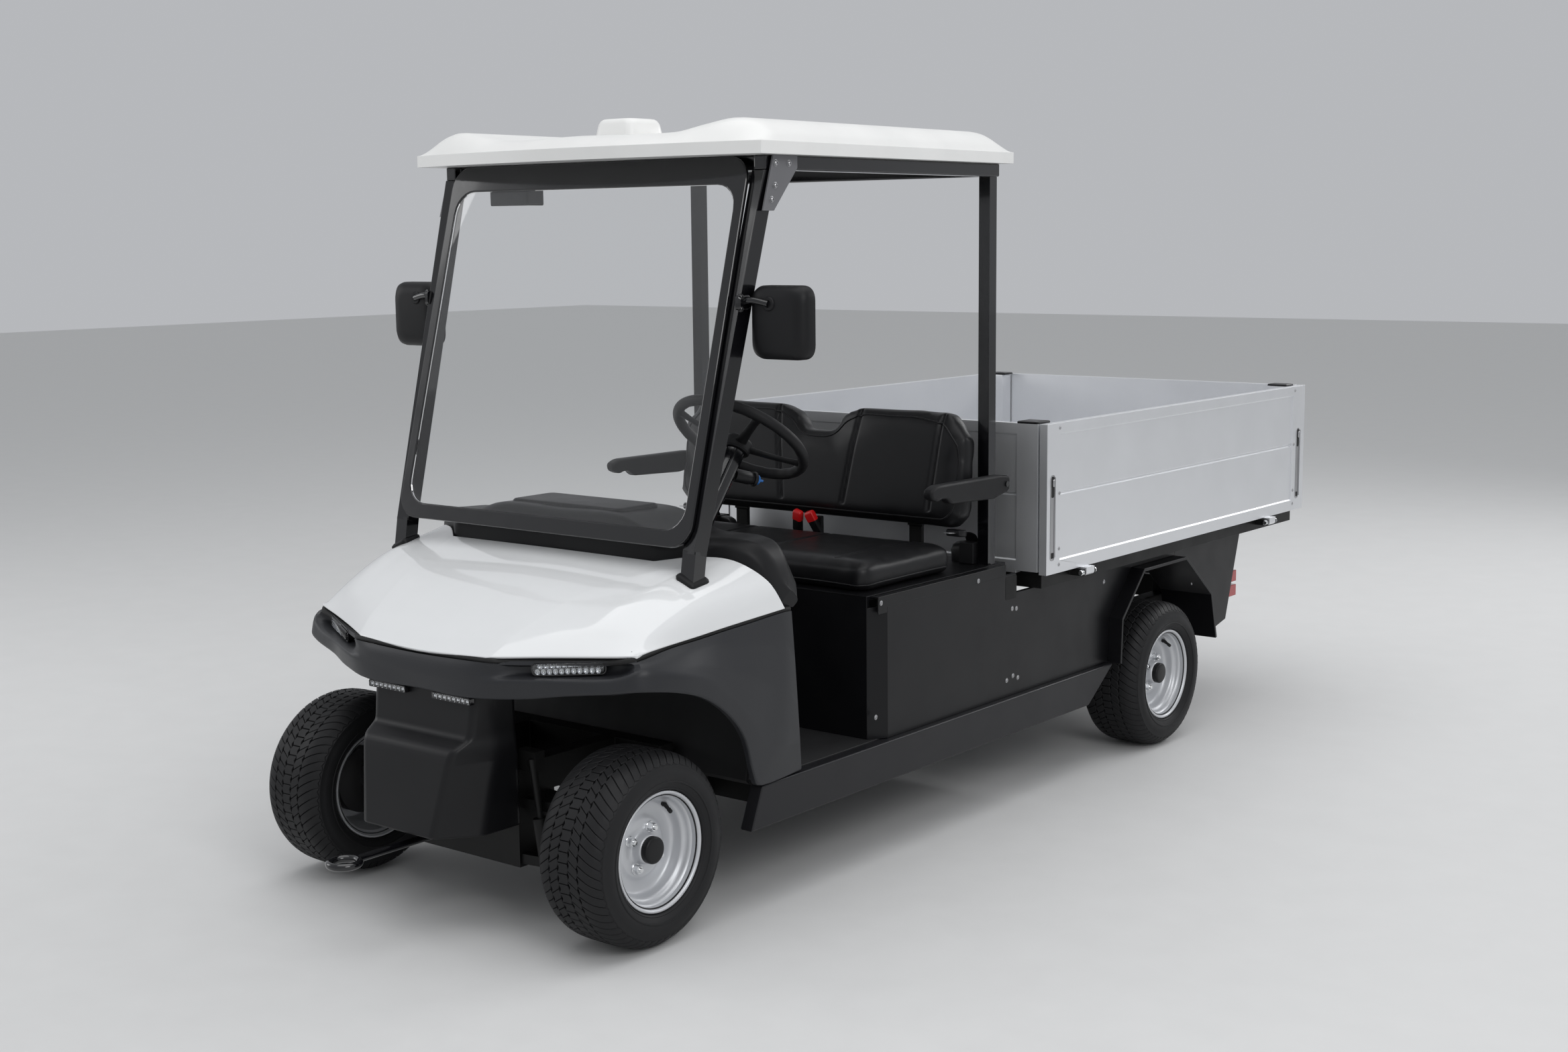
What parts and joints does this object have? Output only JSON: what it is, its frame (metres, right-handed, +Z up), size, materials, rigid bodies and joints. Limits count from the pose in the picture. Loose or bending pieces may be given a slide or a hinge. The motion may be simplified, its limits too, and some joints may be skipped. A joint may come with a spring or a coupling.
{
  "type": "electric utility cart with drop-side cargo bed",
  "caption": "Electric utility cart with a roofed bench cab, raked windscreen, steered front wheels and a drop-side aluminium cargo bed with tailgate.",
  "frame": {"origin": "on the ground below the middle of the cart's box", "axes": "-Y towards the front, +X to the cart's left, +Z up"},
  "size_m": [1.4198, 3.806, 1.907],
  "materials": {
    "white_paint": "gloss",
    "grey_plastic": "satin",
    "black_plastic": "satin",
    "black_panel": "satin",
    "gloss_black": "gloss",
    "black_steel": "satin",
    "grey_steel": "satin",
    "bright_steel": "ground",
    "cast_steel": "matte",
    "battery_case": "matte",
    "floor_mat": "ribbed",
    "lamp_lens": "clear",
    "red_lens": "clear",
    "grip_rubber": "matte",
    "clear_glass": "clear",
    "black_vinyl": "satin grain",
    "tyre_rubber": "matte",
    "silver_wheel": "satin",
    "aluminium": "brushed"
  },
  "bodies": {
    "chassis": {"chassis_frame": "black_steel", "front_suspension": "black_steel", "rear_axle": "cast_steel", "leaf_springs": "black_steel", "battery_pack": "battery_case", "floor_pan": "floor_mat", "side_sills": "grey_plastic", "hood": "white_paint", "front_fascia": "grey_plastic", "front_apron": "black_plastic", "tow_eye": "black_steel", "head_lamps": "lamp_lens", "running_lamps": "lamp_lens", "dash": "black_plastic", "steering_column": "gloss_black", "pedals": "black_steel", "windscreen_frame": "gloss_black", "windscreen_pane": "clear_glass", "front_struts": "gloss_black", "strut_gussets": "grey_steel", "rear_posts": "gloss_black", "roof_rails": "gloss_black", "roof": "white_paint", "mirrors": "black_plastic", "seat_box": "black_panel", "seat_cushion": "black_vinyl", "seat_back": "black_vinyl", "seat_supports": "black_steel", "seat_belts": "black_plastic", "side_panels": "black_panel", "rear_arches": "black_panel", "rear_skirt": "black_panel", "tail_lamps": "red_lens", "tow_hitch": "black_steel", "bed_frame": "black_steel", "bed_deck": "aluminium", "bed_headboard": "aluminium", "bed_rear_posts": "aluminium"},
    "left_knuckle": {"knuckle_left": "cast_steel"},
    "right_knuckle": {"knuckle_right": "cast_steel"},
    "rack": {"steering_rack": "bright_steel"},
    "hand_wheel": {"steering_wheel": "grip_rubber"},
    "front_left_wheel": {"tyre_front_left": "tyre_rubber", "wheel_front_left": "silver_wheel"},
    "front_right_wheel": {"tyre_front_right": "tyre_rubber", "wheel_front_right": "silver_wheel"},
    "rear_left_wheel": {"tyre_rear_left": "tyre_rubber", "wheel_rear_left": "silver_wheel"},
    "rear_right_wheel": {"tyre_rear_right": "tyre_rubber", "wheel_rear_right": "silver_wheel"},
    "left_drop_side": {"drop_side_left": "aluminium"},
    "right_drop_side": {"drop_side_right": "aluminium"},
    "gate": {"tailgate": "aluminium"},
    "left_armrest": {"armrest_left": "grip_rubber"},
    "right_armrest": {"armrest_right": "grip_rubber"}
  },
  "joints": [
    {"name": "steer_left", "type": "hinge", "parent": "chassis", "child": "left_knuckle", "pos_m": [0.43, -1.419, 0.228], "axis": [0, 0, 1], "range_deg": [-30, 30]},
    {"name": "steer_right", "type": "hinge", "parent": "chassis", "child": "right_knuckle", "pos_m": [-0.43, -1.419, 0.228], "axis": [0, 0, 1], "range_deg": [-30, 30]},
    {"name": "rack_slide", "type": "slide", "parent": "chassis", "child": "rack", "axis": [1, 0, 0], "range_m": [-0.033, 0.033]},
    {"name": "hand_wheel_turn", "type": "hinge", "parent": "chassis", "child": "hand_wheel", "pos_m": [0.28, -0.764, 1.1], "axis": [0, 0.6157, 0.788], "range_deg": [-361, 361]},
    {"name": "front_left_spin", "type": "hinge", "parent": "left_knuckle", "child": "front_left_wheel", "pos_m": [0.484, -1.419, 0.228], "axis": [1, 0, 0], "continuous": true},
    {"name": "front_right_spin", "type": "hinge", "parent": "right_knuckle", "child": "front_right_wheel", "pos_m": [-0.484, -1.419, 0.228], "axis": [1, 0, 0], "continuous": true},
    {"name": "rear_left_spin", "type": "hinge", "parent": "chassis", "child": "rear_left_wheel", "pos_m": [0.539, 0.906, 0.228], "axis": [1, 0, 0], "continuous": true},
    {"name": "rear_right_spin", "type": "hinge", "parent": "chassis", "child": "rear_right_wheel", "pos_m": [-0.539, 0.906, 0.228], "axis": [1, 0, 0], "continuous": true},
    {"name": "drop_left", "type": "hinge", "parent": "chassis", "child": "left_drop_side", "pos_m": [0.645, 1.018, 0.633], "axis": [0, 1, 0], "range_deg": [0, 180]},
    {"name": "drop_right", "type": "hinge", "parent": "chassis", "child": "right_drop_side", "pos_m": [-0.645, 1.018, 0.633], "axis": [0, -1, 0], "range_deg": [0, 180]},
    {"name": "gate_drop", "type": "hinge", "parent": "chassis", "child": "gate", "pos_m": [0, 1.893, 0.633], "axis": [-1, 0, 0], "range_deg": [0, 180]},
    {"name": "armrest_left_lift", "type": "hinge", "parent": "chassis", "child": "left_armrest", "pos_m": [0.572, 0.018, 0.922], "axis": [-1, 0, 0], "range_deg": [0, 90]},
    {"name": "armrest_right_lift", "type": "hinge", "parent": "chassis", "child": "right_armrest", "pos_m": [-0.572, 0.018, 0.922], "axis": [-1, 0, 0], "range_deg": [0, 90]}
  ],
  "couplings": [
    {"joint": "steer_right", "follows": "steer_left", "ratio": 1},
    {"joint": "rack_slide", "follows": "steer_left", "m_per_rad": -0.06207},
    {"joint": "hand_wheel_turn", "follows": "steer_left", "ratio": 12}
  ]
}
